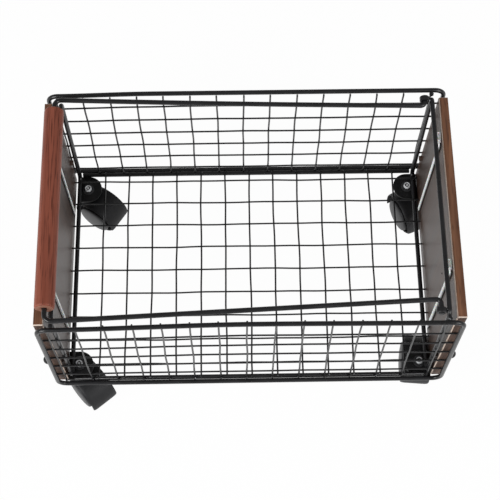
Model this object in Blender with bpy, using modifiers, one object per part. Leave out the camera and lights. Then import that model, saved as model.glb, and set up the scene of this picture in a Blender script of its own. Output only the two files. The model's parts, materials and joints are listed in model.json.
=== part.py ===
"""Low basket trolley on four swivel castors.

Two welded wire walls and a wire floor are carried by two wire end rings. A thin wooden
panel closes each end, and a wire handle with a wooden grip folds down over the basket.
+X points along the basket to the handle's pivots, -Y is the front, and the castors stand
on z = 0 below the middle of the basket.
"""

import math

import bmesh
import bpy
from mathutils import Matrix, Quaternion, Vector

# Clearances
GAP = 0.0003  # air between separate pieces that bear on each other
WELD = 0.0003  # how far the two layers of a wire mesh sink into each other

# Wires
FRAME_WIRE = 0.0044  # diameter of the frames, rings and rails
MESH_WIRE = 0.0016  # diameter of the mesh wires
PITCH = 0.025  # spacing of the walls' mesh wires
FLOOR_PITCH = 0.0248  # spacing of the floor's mesh wires

# Basket
BASKET_LENGTH = 0.375  # over the legs of the wall frames
BASKET_WIDTH = 0.2356  # over the wall frames
WALL_HEIGHT = 0.1568  # between the centres of a wall frame's rim and bottom rail
LEVEL_LIFT = 0.0124  # lowest level wire above the floor mesh
UPRIGHT_SHIFT = -0.003  # middle upright wire from the middle of the wall
FLOOR_SHIFT_X = 0.0025  # middle floor wires from the middle of the floor
FLOOR_SHIFT_Y = 0.0007
FRAME_BEND = 0.009  # bend radii, at the wire's centre
RING_BEND = 0.005
WIRE_END = 0.003  # floor wires past the end rings

# End panels and what holds them
PANEL_T = 0.008
PANEL_DROP = 0.0067  # lower edge below the middle of the floor rails
PANEL_SINK = 0.003  # upper edge below the middle of the rim
TIE_WIDTH = 0.007
TIE_T = 0.0012
TIE_HEAD_WIDTH = 0.009
TIE_HEAD_HEIGHT = 0.010
TIE_DROP = 0.002  # head below the panel's top edge
TIE_Y = 0.064  # either side of the middle
NUT_D = 0.009  # over the corners
NUT_T = 0.004
BOLT_D = 0.004
BOLT_HEAD_D = 0.010
BOLT_HEAD_H = 0.007
BOLT_INSET = 0.003  # inside the ring's post
BOLT_RISE = 0.0365  # above the floor mesh

# Folding handle
HANDLE_WIRE = 0.0045
SLEEVE_D = 0.009
SLEEVE_LENGTH = 0.0046
PIN_BEND = 0.004
PIN_PLAY = 0.0006  # straight wire between a sleeve and the bend next to it
PIN_END = 0.0014  # pin past its sleeve
PIN_SLACK = 0.0028  # more straight wire at the front sleeve
HANDLE_BEND = 0.006
GRIP_D = 0.018
GRIP_LENGTH = 0.195
GRIP_CHAMFER = 0.001
GRIP_PLAY = 0.0049  # wire between the grip and the bends beside it
GRIP_SHIFT = -0.0053  # middle of the grip from the middle of the basket
GRIP_REACH = 0.0043  # grip's axis past the left end ring

# Castors
WHEEL_WIDTH = 0.0128
WHEEL_GAP = 0.0008  # tread to the inside of the hood
WHEEL_CROWN = 0.0022  # height of the domed outer face
WHEEL_EDGE = 0.001
AXLE_D = 0.004
AXLE_DEPTH = 0.009  # axle inside each wheel
AXLE_DROP = 0.0305  # axle below the underside of the plate
TRAIL = 0.0133  # axle behind the stem
HOOD_R = 0.0242
HOOD_T = 0.0016
HOOD_WIDTH = 0.0282
HOOD_WRAP = 0.010  # leading lip of the hood below the axle
HOOD_HEM = 0.0006  # trailing edge of the hood below the axle
WEB_T = 0.0062  # between the twin wheels
EYE_D = 0.012
BOSS_D = 0.015
STEM_D = 0.006
STEM_SEAT = 0.001  # plastic under the stem's end
STEM_HEAD_D = 0.007
STEM_CLEAR = 0.0003  # stem head to the end ring
STEM_INSET = 0.0152  # stem inside the plate's outer edge
WASHER_D = 0.012
PLATE_T = 0.002
PLATE_LENGTH = 0.0239
PLATE_WIDTH = 0.0287
PLATE_LIP = 0.002  # plate past the ring that it carries
PLATE_CORNER = 0.0135
HEADINGS = {
    ("rear", "left"): -34.0,
    ("rear", "right"): -66.0,
    ("front", "left"): -51.0,
    ("front", "right"): 85.0,
}
STRAYS = {  # how far each castor is welded on out of its place
    ("rear", "left"): (0.0025, -0.0008),
    ("rear", "right"): (0.0, -0.002),
    ("front", "left"): (0.0, 0.0),
    ("front", "right"): (-0.0004, -0.0019),
}

# Heights, from the ground up
WHEEL_D = 2 * (HOOD_R - HOOD_T - WHEEL_GAP)
AXLE_Z = WHEEL_D / 2
PLATE_LOW = AXLE_Z + AXLE_DROP
PLATE_TOP = PLATE_LOW + PLATE_T
RAIL_Z = PLATE_TOP + GAP + FRAME_WIRE / 2
FLOOR_Z = RAIL_Z + FRAME_WIRE / 2 + GAP + MESH_WIRE / 2
FLOOR_UPPER_Z = FLOOR_Z + MESH_WIRE - WELD
RING_LOW_Z = FLOOR_UPPER_Z - MESH_WIRE / 2 - GAP - FRAME_WIRE / 2
RIM_Z = RAIL_Z + WALL_HEIGHT
PANEL_LOW_Z = RAIL_Z - PANEL_DROP
PANEL_TOP_Z = RIM_Z - PANEL_SINK

# Distances from the middle, across the basket and along it
FRAME_Y = BASKET_WIDTH / 2 - FRAME_WIRE / 2
UPRIGHT_Y = FRAME_Y - FRAME_WIRE / 2 - GAP - MESH_WIRE / 2
LEVEL_Y = UPRIGHT_Y - MESH_WIRE + WELD
PANEL_HALF = LEVEL_Y - MESH_WIRE / 2 - GAP
RING_Y = PANEL_HALF - FRAME_WIRE / 2
RAIL_Y = FRAME_Y - FRAME_WIRE - GAP
LEG_X = BASKET_LENGTH / 2 - FRAME_WIRE / 2
PANEL_OUT = BASKET_LENGTH / 2
PANEL_IN = PANEL_OUT - PANEL_T
RING_X = PANEL_IN - GAP - NUT_T - GAP - FRAME_WIRE / 2
BETWEEN_X = (PANEL_IN + RING_X + FRAME_WIRE / 2) / 2
BOLT_Y = RING_Y - BOLT_INSET

# The handle lies with its grip on the left end ring
PIVOT_X = RING_X - FRAME_WIRE / 2 - GAP - SLEEVE_D / 2
PIVOT_ARM_Y = RING_Y - SLEEVE_LENGTH - PIN_PLAY - PIN_BEND
GRIP_ARM_Y = GRIP_LENGTH / 2 + GRIP_PLAY + HANDLE_BEND
GRIP_X = -RING_X - GRIP_REACH
GRIP_REST = GRIP_D / 2 + FRAME_WIRE / 2 + GAP
GRIP_Z = RIM_Z + math.sqrt(GRIP_REST**2 - GRIP_REACH**2)

# Castor places
WHEEL_IN = WEB_T / 2 + GAP
PLATE_OUT_X = RING_X + FRAME_WIRE / 2 + PLATE_LIP
PLATE_OUT_Y = RAIL_Y
STEM_X = RING_X - FRAME_WIRE / 2 - STEM_CLEAR - STEM_HEAD_D / 2
STEM_Y = PLATE_OUT_Y - STEM_INSET
WELL_OVER_STEM = math.sqrt((HOOD_R - HOOD_T) ** 2 - (TRAIL - STEM_D / 2 - GAP) ** 2)
STEM_LOW = AXLE_Z + WELL_OVER_STEM + STEM_SEAT + GAP
WASHER_LOW = PLATE_TOP + GAP
WASHER_TOP = RING_LOW_Z - FRAME_WIRE / 2 - GAP
STEM_TOP = FLOOR_Z - MESH_WIRE / 2 - GAP

ROUND = 24  # sides of the wheels and the grip
SMALL_ROUND = 16  # sides of pins, bolts and their holes
HOOD_SIDES = 32
ALONG_Y = (-math.pi / 2, 0, 0)
AGAINST_Y = (math.pi / 2, 0, 0)
SIDES = {"left": -1, "right": 1}
FACES = {"front": -1, "rear": 1}

for old in list(bpy.data.objects):
    bpy.data.objects.remove(old)

parts = bpy.data.collections.new("basket_trolley")
cutters = bpy.data.collections.new("cutters")
for group in (parts, cutters):
    bpy.context.scene.collection.children.link(group)


def material(name, colour, roughness, metallic=0.0):
    made = bpy.data.materials.new(name)
    made.use_nodes = True
    shader = made.node_tree.nodes["Principled BSDF"]
    shader.inputs["Base Color"].default_value = (*colour, 1.0)
    shader.inputs["Roughness"].default_value = roughness
    shader.inputs["Metallic"].default_value = metallic
    return made


COATED = material("coated_wire", (0.016, 0.016, 0.018), 0.42)
PANEL_WOOD = material("panel_wood", (0.115, 0.055, 0.038), 0.30)
GRIP_WOOD = material("grip_wood", (0.205, 0.054, 0.032), 0.45)
NYLON = material("nylon", (0.82, 0.82, 0.80), 0.45)
BLACK_STEEL = material("black_steel", (0.012, 0.012, 0.013), 0.5)
ZINC = material("zinc", (0.62, 0.64, 0.66), 0.3, 1.0)
HOOD_PLASTIC = material("hood_plastic", (0.013, 0.013, 0.014), 0.5)
WHEEL_PLASTIC = material("wheel_plastic", (0.030, 0.030, 0.032), 0.45)


def add(name, data, finish, location=(0, 0, 0), rotation=(0, 0, 0), parent=None):
    """A part at its place, under its parent if it has one."""
    data.materials.clear()
    data.materials.append(finish)
    part = bpy.data.objects.new(name, data)
    part.parent = parent
    part.location = location
    part.rotation_euler = rotation
    parts.objects.link(part)
    return part


def helper(name, data):
    """A shape that only cuts or joins a part."""
    shape = bpy.data.objects.new(name, data)
    shape.hide_render = True
    shape.display_type = "WIRE"
    cutters.objects.link(shape)
    return shape


def boxes(name, solids):
    """A mesh of (centre, size) boxes."""
    bm = bmesh.new()
    for centre, size in solids:
        place = Matrix.Translation(centre) @ Matrix.Diagonal((*size, 1))
        bmesh.ops.create_cube(bm, size=1, matrix=place)
    mesh = bpy.data.meshes.new(name)
    bm.to_mesh(mesh)
    bm.free()
    return mesh


def cylinder(name, radius, depth, centre=(0, 0, 0), turn=None, sides=SMALL_ROUND):
    """A cylinder on Z, or turned about its centre, as a mesh."""
    bm = bmesh.new()
    place = Matrix.Translation(centre)
    if turn is not None:
        place = place @ turn
    bmesh.ops.create_cone(
        bm,
        cap_ends=True,
        segments=sides,
        radius1=radius,
        radius2=radius,
        depth=depth,
        matrix=place,
    )
    mesh = bpy.data.meshes.new(name)
    bm.to_mesh(mesh)
    bm.free()
    mesh.shade_smooth()
    mesh.set_sharp_from_angle(angle=math.radians(40))
    return mesh


def boolean(part, shape, operation):
    change = part.modifiers.new(shape.name, "BOOLEAN")
    change.operation = operation
    change.object = shape


def turned(name, profile, closed=False, sides=SMALL_ROUND):
    """A turned solid on Z as a mesh, from (radius, height) points down its outer side."""
    outline = bpy.data.meshes.new(name)
    edges = [(i, i + 1) for i in range(len(profile) - 1)]
    if closed:
        edges.append((len(profile) - 1, 0))
    outline.from_pydata([(r, 0, z) for r, z in profile], edges, [])
    blank = helper(name, outline)
    screw = blank.modifiers.new("turn", "SCREW")
    screw.steps = sides
    screw.render_steps = sides
    screw.use_merge_vertices = True
    screw.merge_threshold = 1e-6
    return baked(blank)


def baked(source):
    """The evaluated mesh of an object, which is then removed."""
    graph = bpy.context.evaluated_depsgraph_get()
    mesh = bpy.data.meshes.new_from_object(source.evaluated_get(graph))
    mesh.name = source.name
    bpy.data.objects.remove(source)
    return mesh


def bend(before, corner, after, radius, steps=5):
    """Points of the round bend that replaces a corner."""
    u = (before - corner).normalized()
    v = (after - corner).normalized()
    half = u.angle(v) / 2
    centre = corner + (u + v).normalized() * radius / math.sin(half)
    start = corner + u * radius / math.tan(half) - centre
    axis = u.cross(v)
    sweep = math.pi - 2 * half
    return [
        centre + Quaternion(-axis, sweep * i / steps) @ start for i in range(steps + 1)
    ]


def wire(name, points, diameter, cyclic=False):
    """Round wire through the points, as a curve."""
    curve = bpy.data.curves.new(name, "CURVE")
    curve.dimensions = "3D"
    curve.bevel_depth = diameter / 2
    curve.bevel_resolution = 2
    curve.use_fill_caps = not cyclic
    spline = curve.splines.new("POLY")
    spline.points.add(len(points) - 1)
    for place, point in zip(spline.points, points):
        place.co = (*point, 1)
    spline.use_cyclic_u = cyclic
    return curve


def hoop(name, corners, radius, diameter):
    """A closed wire with every corner bent to the radius."""
    corners = [Vector(c) for c in corners]
    points = []
    for i, corner in enumerate(corners):
        points += bend(corners[i - 1], corner, corners[(i + 1) % len(corners)], radius)
    return wire(name, points, diameter, cyclic=True)


def sheet(name, outlines, thickness):
    """A flat plate in local XY from its outline and the outlines of its holes."""
    curve = bpy.data.curves.new(name, "CURVE")
    curve.dimensions = "2D"
    curve.fill_mode = "BOTH"
    curve.extrude = thickness / 2
    for outline in outlines:
        spline = curve.splines.new("POLY")
        spline.points.add(len(outline) - 1)
        for place, (x, y) in zip(spline.points, outline):
            place.co = (x, y, 0, 1)
        spline.use_cyclic_u = True
    return curve


def circle(x, y, radius):
    angles = [2 * math.pi * i / SMALL_ROUND for i in range(SMALL_ROUND)]
    return [(x + radius * math.cos(a), y + radius * math.sin(a)) for a in angles]


def spread(shift, pitch, limit):
    """Wire positions at the pitch, from the shifted middle one out to the limit."""
    first = math.ceil((-limit - shift) / pitch)
    last = math.floor((limit - shift) / pitch)
    return [shift + pitch * i for i in range(first, last + 1)]


def mesh_panel(name, under, over):
    """Two crossing layers of wires joined into one welded mesh."""
    panel = add(name, boxes(name, under), COATED)
    boolean(panel, helper(name + "_second_layer", boxes(name + "_second", over)), "UNION")


# Walls: each has a bent frame outside and a welded mesh on its inner side
upright_x = spread(UPRIGHT_SHIFT, PITCH, LEG_X - FRAME_WIRE)
upright_low = RAIL_Z + FRAME_WIRE / 2 + GAP
upright_top = RIM_Z + MESH_WIRE / 2
levels = int((RIM_Z - FRAME_WIRE - FLOOR_Z - LEVEL_LIFT) / PITCH) + 1
for face, sign in FACES.items():
    rim_to_rail = [(-LEG_X, RIM_Z), (LEG_X, RIM_Z), (LEG_X, RAIL_Z), (-LEG_X, RAIL_Z)]
    corners = [(x, sign * FRAME_Y, z) for x, z in rim_to_rail]
    frame_name = face + "_wall_frame"
    add(frame_name, hoop(frame_name, corners, FRAME_BEND, FRAME_WIRE), COATED)
    upright_size = (MESH_WIRE, MESH_WIRE, upright_top - upright_low)
    upright_mid = (upright_top + upright_low) / 2
    uprights = [((x, sign * UPRIGHT_Y, upright_mid), upright_size) for x in upright_x]
    level_size = (BASKET_LENGTH, MESH_WIRE, MESH_WIRE)
    level_z = [FLOOR_Z + LEVEL_LIFT + PITCH * i for i in range(levels)]
    crossing = [((0, sign * LEVEL_Y, z), level_size) for z in level_z]
    mesh_panel(face + "_wall_mesh", uprights, crossing)

# Floor: short wires lie on the two rails, and long wires on the end rings
ring_inside = RING_X - FRAME_WIRE / 2 - GAP
for face, sign in FACES.items():
    ends = [(-ring_inside, sign * RAIL_Y, RAIL_Z), (ring_inside, sign * RAIL_Y, RAIL_Z)]
    rail_name = "floor_rail_" + face
    add(rail_name, wire(rail_name, ends, FRAME_WIRE), COATED)
short_half = UPRIGHT_Y - MESH_WIRE / 2 - GAP
short_size = (MESH_WIRE, 2 * short_half, MESH_WIRE)
short_x = spread(FLOOR_SHIFT_X, FLOOR_PITCH, ring_inside - MESH_WIRE / 2)
short_wires = [((x, 0, FLOOR_Z), short_size) for x in short_x]
long_wires = []
for y in spread(FLOOR_SHIFT_Y, FLOOR_PITCH, PANEL_HALF - MESH_WIRE):
    beside_bend = abs(y) > RING_Y - RING_BEND - MESH_WIRE
    reach = ring_inside if beside_bend else RING_X + FRAME_WIRE / 2 + WIRE_END
    long_wires.append(((0, y, FLOOR_UPPER_Z), (2 * reach, MESH_WIRE, MESH_WIRE)))
mesh_panel("floor_mesh", short_wires, long_wires)

# Ends: a wire ring inside, a wooden panel outside, and the fasteners between them
panel_height = PANEL_TOP_Z - PANEL_LOW_Z
panel_mid_z = (PANEL_TOP_Z + PANEL_LOW_Z) / 2
bolt_z = FLOOR_Z + BOLT_RISE
bolt_hole = BOLT_D / 2 + GAP
tie_head_top = PANEL_TOP_Z - TIE_DROP
tie_low = FLOOR_UPPER_Z + MESH_WIRE / 2 + GAP
tie_height = tie_head_top - TIE_HEAD_HEIGHT / 2 - tie_low
tie_strap = boxes("tie_strap", [((0, 0, tie_height / 2), (TIE_T, TIE_WIDTH, tie_height))])
tie_head = boxes(
    "tie_head",
    [((0, 0, tie_height), (NUT_T, TIE_HEAD_WIDTH, TIE_HEAD_HEIGHT))],
)
tie_blank = helper("tie_blank", tie_strap)
tie_head_blank = helper("tie_head_blank", tie_head)
boolean(tie_blank, tie_head_blank, "UNION")
tie_mesh = baked(tie_blank)
bpy.data.objects.remove(tie_head_blank)

dome = [math.radians(90 - 15 * i) for i in range(6)]
bolt_reach = GAP + PANEL_T + GAP + NUT_T
bolt_profile = [
    *((BOLT_HEAD_D / 2 * math.cos(a), BOLT_HEAD_H * math.sin(a)) for a in dome),
    (BOLT_HEAD_D / 2, 0),
    (BOLT_D / 2, 0),
    (BOLT_D / 2, -bolt_reach),
    (0, -bolt_reach),
]
bolt_mesh = turned("bolt", bolt_profile)
nut_blank = helper("nut_blank", cylinder("nut", NUT_D / 2, NUT_T, sides=6))
nut_hole = helper("nut_hole", cylinder("nut_hole", bolt_hole, 2 * NUT_T))
boolean(nut_blank, nut_hole, "DIFFERENCE")
nut_mesh = baked(nut_blank)
bpy.data.objects.remove(nut_hole)

for side, end in SIDES.items():
    ring_corners = [
        (end * RING_X, -RING_Y, RIM_Z),
        (end * RING_X, RING_Y, RIM_Z),
        (end * RING_X, RING_Y, RING_LOW_Z),
        (end * RING_X, -RING_Y, RING_LOW_Z),
    ]
    ring_name = "end_ring_" + side
    add(ring_name, hoop(ring_name, ring_corners, RING_BEND, FRAME_WIRE), COATED)

    half_z = panel_height / 2
    panel_outline = [
        (-PANEL_HALF, -half_z),
        (PANEL_HALF, -half_z),
        (PANEL_HALF, half_z),
        (-PANEL_HALF, half_z),
    ]
    holes = [circle(sign * BOLT_Y, bolt_z - panel_mid_z, bolt_hole) for sign in (-1, 1)]
    panel_name = "end_panel_" + side
    panel_x = end * (PANEL_OUT + PANEL_IN) / 2
    add(
        panel_name,
        sheet(panel_name, [panel_outline, *holes], PANEL_T),
        PANEL_WOOD,
        (panel_x, 0, panel_mid_z),
        (math.pi / 2, 0, math.pi / 2),
    )
    outward = (0, end * math.pi / 2, 0)
    for face, sign in FACES.items():
        where = side + "_" + face
        add("panel_tie_" + where, tie_mesh, NYLON, (end * BETWEEN_X, sign * TIE_Y, tie_low))
        bolt_place = (end * (PANEL_OUT + GAP), sign * BOLT_Y, bolt_z)
        add("panel_bolt_" + where, bolt_mesh, BLACK_STEEL, bolt_place, outward)
        nut_place = (end * BETWEEN_X, sign * BOLT_Y, bolt_z)
        add("panel_nut_" + where, nut_mesh, BLACK_STEEL, nut_place, outward)

# Handle: a wire bail that turns in two sleeves, with a wooden grip that turns on it
pivot = Vector((PIVOT_X, 0, RIM_Z))
pin_y = RING_Y + PIN_END
bail = [
    Vector((PIVOT_X, -pin_y, RIM_Z)),
    Vector((PIVOT_X, PIN_SLACK - PIVOT_ARM_Y, RIM_Z)),
    Vector((GRIP_X, GRIP_SHIFT - GRIP_ARM_Y, GRIP_Z)),
    Vector((GRIP_X, GRIP_SHIFT + GRIP_ARM_Y, GRIP_Z)),
    Vector((PIVOT_X, PIVOT_ARM_Y, RIM_Z)),
    Vector((PIVOT_X, pin_y, RIM_Z)),
]
bail_radii = [PIN_BEND, HANDLE_BEND, HANDLE_BEND, PIN_BEND]
bail_points = [bail[0]]
for i, radius in enumerate(bail_radii):
    bail_points += bend(bail[i], bail[i + 1], bail[i + 2], radius)
bail_points.append(bail[-1])
bail_curve = wire("handle_wire", [p - pivot for p in bail_points], HANDLE_WIRE)
handle = add("handle_wire", bail_curve, COATED, pivot)

wire_bore = HANDLE_WIRE / 2 + GAP
grip_r = GRIP_D / 2
grip_half = GRIP_LENGTH / 2
grip_profile = [
    (wire_bore, grip_half),
    (grip_r - GRIP_CHAMFER, grip_half),
    (grip_r, grip_half - GRIP_CHAMFER),
    (grip_r, GRIP_CHAMFER - grip_half),
    (grip_r - GRIP_CHAMFER, -grip_half),
    (wire_bore, -grip_half),
]
grip_mesh = turned("grip", grip_profile, closed=True, sides=ROUND)
grip_place = (GRIP_X - PIVOT_X, GRIP_SHIFT, GRIP_Z - RIM_Z)
add("handle_grip", grip_mesh, GRIP_WOOD, grip_place, ALONG_Y, handle)
sleeve_profile = [
    (wire_bore, SLEEVE_LENGTH / 2),
    (SLEEVE_D / 2, SLEEVE_LENGTH / 2),
    (SLEEVE_D / 2, -SLEEVE_LENGTH / 2),
    (wire_bore, -SLEEVE_LENGTH / 2),
]
sleeve_mesh = turned("sleeve", sleeve_profile, closed=True)
for face, sign in FACES.items():
    sleeve_y = sign * (RING_Y - SLEEVE_LENGTH / 2)
    add("pivot_sleeve_" + face, sleeve_mesh, COATED, (PIVOT_X, sleeve_y, RIM_Z), ALONG_Y)

# Castor pieces, made once: the hood's own origin is on the stem's axis at axle height
across = Matrix.Rotation(math.pi / 2, 4, "X")
axle_place = (TRAIL, 0, 0)
hood_blank = helper("hood", cylinder("hood", HOOD_R, HOOD_WIDTH, axle_place, across, HOOD_SIDES))
boss_top = AXLE_DROP - GAP
behind_mid = (TRAIL + HOOD_HEM + HOOD_R, 0, -HOOD_HEM - HOOD_R)
behind = (behind_mid, (2 * HOOD_R, 2 * HOOD_WIDTH, 2 * HOOD_R))
lead = ((TRAIL, 0, -HOOD_WRAP - HOOD_R), (4 * HOOD_R, 2 * HOOD_WIDTH, 2 * HOOD_R))
boss_length = boss_top - HOOD_T
boss_mid = (0, 0, boss_top - boss_length / 2)
well_y = WEB_T / 2 + HOOD_WIDTH / 2
well_r = HOOD_R - HOOD_T
stem_hole_low = STEM_LOW - GAP - AXLE_Z
stem_bore = STEM_D / 2 + GAP
stem_hole_mid = (0, 0, stem_hole_low + HOOD_R)
steps = [
    ("hood_behind", boxes("hood_behind", [behind]), "DIFFERENCE"),
    ("hood_lead", boxes("hood_lead", [lead]), "DIFFERENCE"),
    ("hood_boss", cylinder("hood_boss", BOSS_D / 2, boss_length, boss_mid, None, ROUND), "UNION"),
    (
        "hood_eye",
        cylinder("hood_eye", EYE_D / 2, 2 * WEB_T, axle_place, across),
        "UNION",
    ),
    (
        "hood_well_a",
        cylinder("hood_well_a", well_r, HOOD_WIDTH, (TRAIL, well_y, 0), across, HOOD_SIDES),
        "DIFFERENCE",
    ),
    (
        "hood_well_b",
        cylinder("hood_well_b", well_r, HOOD_WIDTH, (TRAIL, -well_y, 0), across, HOOD_SIDES),
        "DIFFERENCE",
    ),
    (
        "hood_axle_hole",
        cylinder("hood_axle_hole", AXLE_D / 2 + GAP, 4 * WEB_T, axle_place, across),
        "DIFFERENCE",
    ),
    (
        "hood_stem_hole",
        cylinder("hood_stem_hole", stem_bore, 2 * HOOD_R, stem_hole_mid),
        "DIFFERENCE",
    ),
]
shapes = [helper(name, mesh) for name, mesh, _ in steps]
for shape, (_, _, operation) in zip(shapes, steps):
    boolean(hood_blank, shape, operation)
hood_mesh = baked(hood_blank)
hood_mesh.shade_smooth()
hood_mesh.set_sharp_from_angle(angle=math.radians(40))
for shape in shapes:
    bpy.data.objects.remove(shape)

axle_half = WHEEL_IN + AXLE_DEPTH
axle_mesh = cylinder("axle", AXLE_D / 2, 2 * axle_half)
tread_top = WHEEL_WIDTH - WHEEL_CROWN
wheel_r = WHEEL_D / 2
wheel_bore = AXLE_D / 2 + GAP
crown = [math.radians(90 - 18 * i) for i in range(5)]
wheel_profile = [
    *((wheel_r * math.cos(a), tread_top + WHEEL_CROWN * math.sin(a)) for a in crown),
    (wheel_r, tread_top),
    (wheel_r, WHEEL_EDGE),
    (wheel_r - WHEEL_EDGE, 0),
    (wheel_bore, 0),
    (wheel_bore, AXLE_DEPTH + GAP),
    (0, AXLE_DEPTH + GAP),
]
wheel_mesh = turned("wheel", wheel_profile, sides=ROUND)

washer_profile = [
    (stem_bore, WASHER_TOP),
    (WASHER_D / 2, WASHER_TOP),
    (WASHER_D / 2, WASHER_LOW),
    (stem_bore, WASHER_LOW),
]
washer_mesh = turned("washer", washer_profile, closed=True)
head_low = WASHER_TOP + GAP
head_edge = (STEM_HEAD_D - STEM_D) / 2
stem_profile = [
    (0, STEM_TOP),
    (STEM_D / 2, STEM_TOP),
    (STEM_HEAD_D / 2, STEM_TOP - head_edge),
    (STEM_HEAD_D / 2, head_low),
    (STEM_D / 2, head_low),
    (STEM_D / 2, STEM_LOW),
    (0, STEM_LOW),
]
stem_mesh = turned("stem", stem_profile)

for (face, side), heading in HEADINGS.items():
    sx = SIDES[side]
    sy = FACES[face]
    castor = face + "_" + side
    stray_x, stray_y = STRAYS[face, side]
    stem_place = (sx * STEM_X + stray_x, sy * STEM_Y + stray_y)
    inner_x = PLATE_OUT_X - PLATE_LENGTH
    inner_y = PLATE_OUT_Y - PLATE_WIDTH
    corners = [(PLATE_OUT_X, PLATE_OUT_Y), (inner_x, PLATE_OUT_Y)]
    corners += [(inner_x, inner_y), (PLATE_OUT_X, inner_y)]
    corners = [Vector((sx * x + stray_x, sy * y + stray_y, 0)) for x, y in corners]
    outline = [corners[0]]
    for i in (1, 2):
        outline += bend(corners[i - 1], corners[i], corners[i + 1], PLATE_CORNER)
    outline.append(corners[3])
    flat = [(p.x, p.y) for p in outline]
    plate_name = "castor_plate_" + castor
    plate = sheet(plate_name, [flat, circle(*stem_place, stem_bore)], PLATE_T)
    add(plate_name, plate, BLACK_STEEL, (0, 0, (PLATE_LOW + PLATE_TOP) / 2))
    add("castor_washer_" + castor, washer_mesh, BLACK_STEEL, (*stem_place, 0))
    add("castor_stem_" + castor, stem_mesh, ZINC, (*stem_place, 0))

    turn = (0, 0, math.radians(heading))
    hood_place = (*stem_place, AXLE_Z)
    hood = add("castor_hood_" + castor, hood_mesh, HOOD_PLASTIC, hood_place, turn)
    add("castor_axle_" + castor, axle_mesh, ZINC, axle_place, ALONG_Y, hood)
    wheel_places = {"a": (WHEEL_IN, ALONG_Y), "b": (-WHEEL_IN, AGAINST_Y)}
    for letter, (wheel_y, facing) in wheel_places.items():
        wheel_name = "castor_wheel_" + castor + "_" + letter
        add(wheel_name, wheel_mesh, WHEEL_PLASTIC, (TRAIL, wheel_y, 0), facing, hood)
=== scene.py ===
# %% [markdown]
# # A low wire basket trolley
#
# The trolley is a basket of black welded wire on four swivel castors. A thin wooden board closes each
# end, and a wire handle with a wooden grip folds down over the basket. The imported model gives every
# piece its place, so each step below measures a node first and then makes the finer piece that shows.

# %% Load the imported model
import json
import math
import random

import bmesh
import bpy
from mathutils import Matrix, Vector


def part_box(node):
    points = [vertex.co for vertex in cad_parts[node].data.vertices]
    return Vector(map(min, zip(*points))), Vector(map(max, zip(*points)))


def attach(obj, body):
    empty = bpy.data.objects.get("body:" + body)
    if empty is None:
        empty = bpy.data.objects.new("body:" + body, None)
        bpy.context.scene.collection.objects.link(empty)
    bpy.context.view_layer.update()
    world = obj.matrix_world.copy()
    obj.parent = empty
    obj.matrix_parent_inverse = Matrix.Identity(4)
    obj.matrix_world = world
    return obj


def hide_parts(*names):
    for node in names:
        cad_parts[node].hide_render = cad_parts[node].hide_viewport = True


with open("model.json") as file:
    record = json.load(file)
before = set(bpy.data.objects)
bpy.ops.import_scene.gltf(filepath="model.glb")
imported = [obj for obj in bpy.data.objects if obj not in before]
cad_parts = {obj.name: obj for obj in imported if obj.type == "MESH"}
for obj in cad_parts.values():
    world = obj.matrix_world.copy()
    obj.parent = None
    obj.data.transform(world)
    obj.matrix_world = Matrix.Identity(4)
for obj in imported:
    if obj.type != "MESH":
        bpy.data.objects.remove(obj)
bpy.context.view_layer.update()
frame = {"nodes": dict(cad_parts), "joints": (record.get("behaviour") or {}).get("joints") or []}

# %% [markdown]
# The photograph was taken from above the front with a long lens. A camera could be aimed by eye, but
# thin wire shows an error of a pixel at once. So it stands where the mesh crossings of the floor and
# both walls fit the picture best.

# %% Camera
lens = bpy.data.cameras.new("camera")
lens.lens = 93.24
lens.sensor_width = 36.0
camera = bpy.data.objects.new("camera", lens)
camera.location = (-0.01195, -0.50577, 1.26194)
camera.rotation_euler = (0.4137, -0.0045, -0.0168)
bpy.context.scene.collection.objects.link(camera)
bpy.context.scene.camera = camera
print("camera", round(camera.location.length, 3), "m from the trolley's foot")

# %% [markdown]
# The finishes could be joined up node by node. They are written as sums of shader sockets instead, so
# that a line of Python reads like the recipe of a surface: a base tone, a share of grain, a little wear.


# %% Sums of shader sockets
class Sum:
    """An output socket that takes part in Python sums."""

    def __init__(self, finish, socket):
        self.finish = finish
        self.socket = socket

    def math(self, operation, *terms):
        return self.finish.node("ShaderNodeMath", {"operation": operation}, dict(enumerate(terms)))

    def __add__(self, other):
        return self.math("ADD", self, other)

    def __radd__(self, other):
        return self.math("ADD", other, self)

    def __sub__(self, other):
        return self.math("SUBTRACT", self, other)

    def __rsub__(self, other):
        return self.math("SUBTRACT", other, self)

    def __mul__(self, other):
        return self.math("MULTIPLY", self, other)

    def __rmul__(self, other):
        return self.math("MULTIPLY", other, self)

    def rise(self, low, high):
        """0 up to low, 1 from high on."""
        places = {"Value": self, "From Min": low, "From Max": high}
        return self.finish.node("ShaderNodeMapRange", {}, places)


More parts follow.
